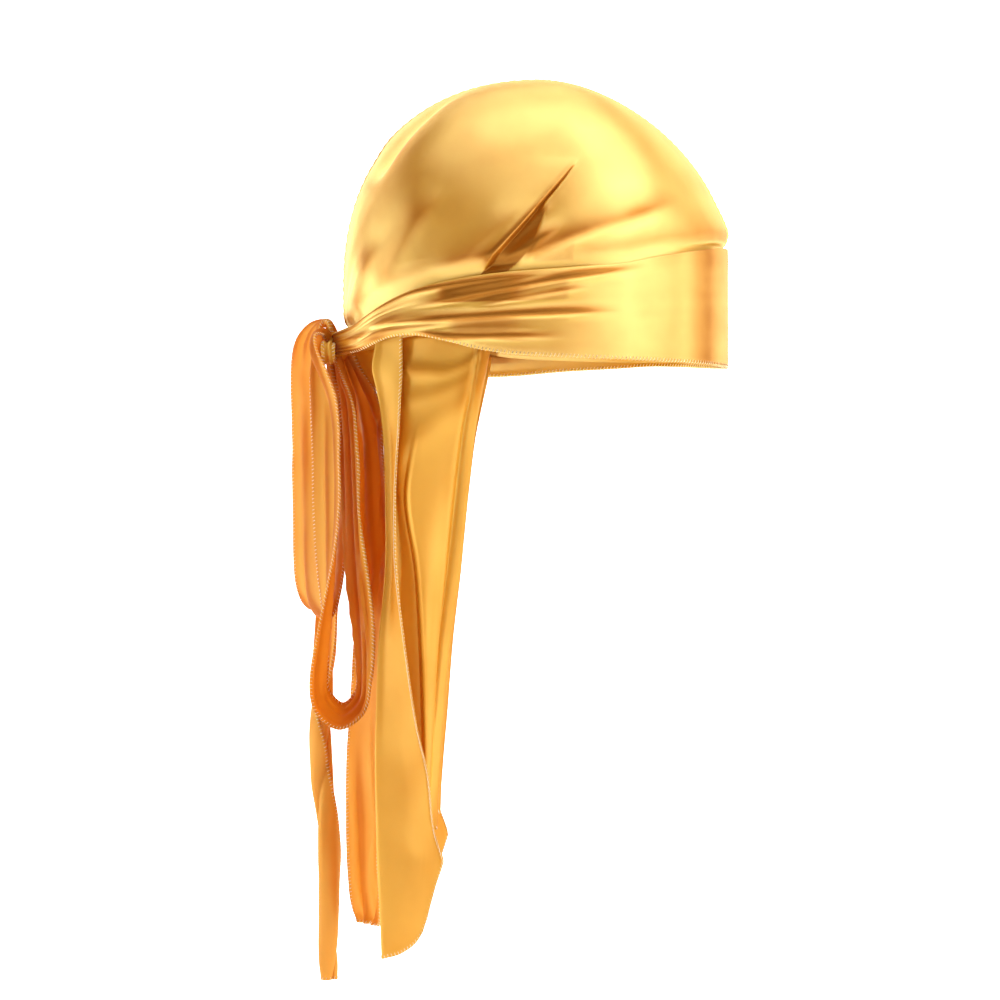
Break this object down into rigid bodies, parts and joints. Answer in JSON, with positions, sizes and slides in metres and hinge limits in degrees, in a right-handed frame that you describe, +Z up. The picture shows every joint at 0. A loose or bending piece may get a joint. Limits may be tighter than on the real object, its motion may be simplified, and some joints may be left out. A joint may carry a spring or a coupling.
{
  "type": "durag",
  "caption": "Satin durag in its worn shape: hollow dome with a centre seam, ties wrapped round the band and knotted behind in loops, two hanging tie ends and a long tail flap.",
  "frame": {"origin": "middle of the head opening, at the height of the front hem, where the dome sits on the head", "axes": "+X forward, +Y to the wearer's left, +Z up"},
  "size_m": [0.2284, 0.1691, 0.4706],
  "materials": {
    "satin": "golden satin weave, soft sheen",
    "satin_deep": "golden satin weave in the shade of the folds",
    "satin_pale": "golden satin weave with overlocked edge"
  },
  "bodies": {
    "root": {"crown_right": "satin", "crown_left": "satin", "centre_seam": "satin_pale", "wrap_right": "satin", "wrap_left": "satin", "knot": "satin_deep", "knot_loop": "satin_pale", "bow_loop_outer": "satin_deep", "bow_loop_long": "satin", "tie_end_middle": "satin", "tie_end_left": "satin", "tail_flap": "satin"}
  },
  "joints": []
}
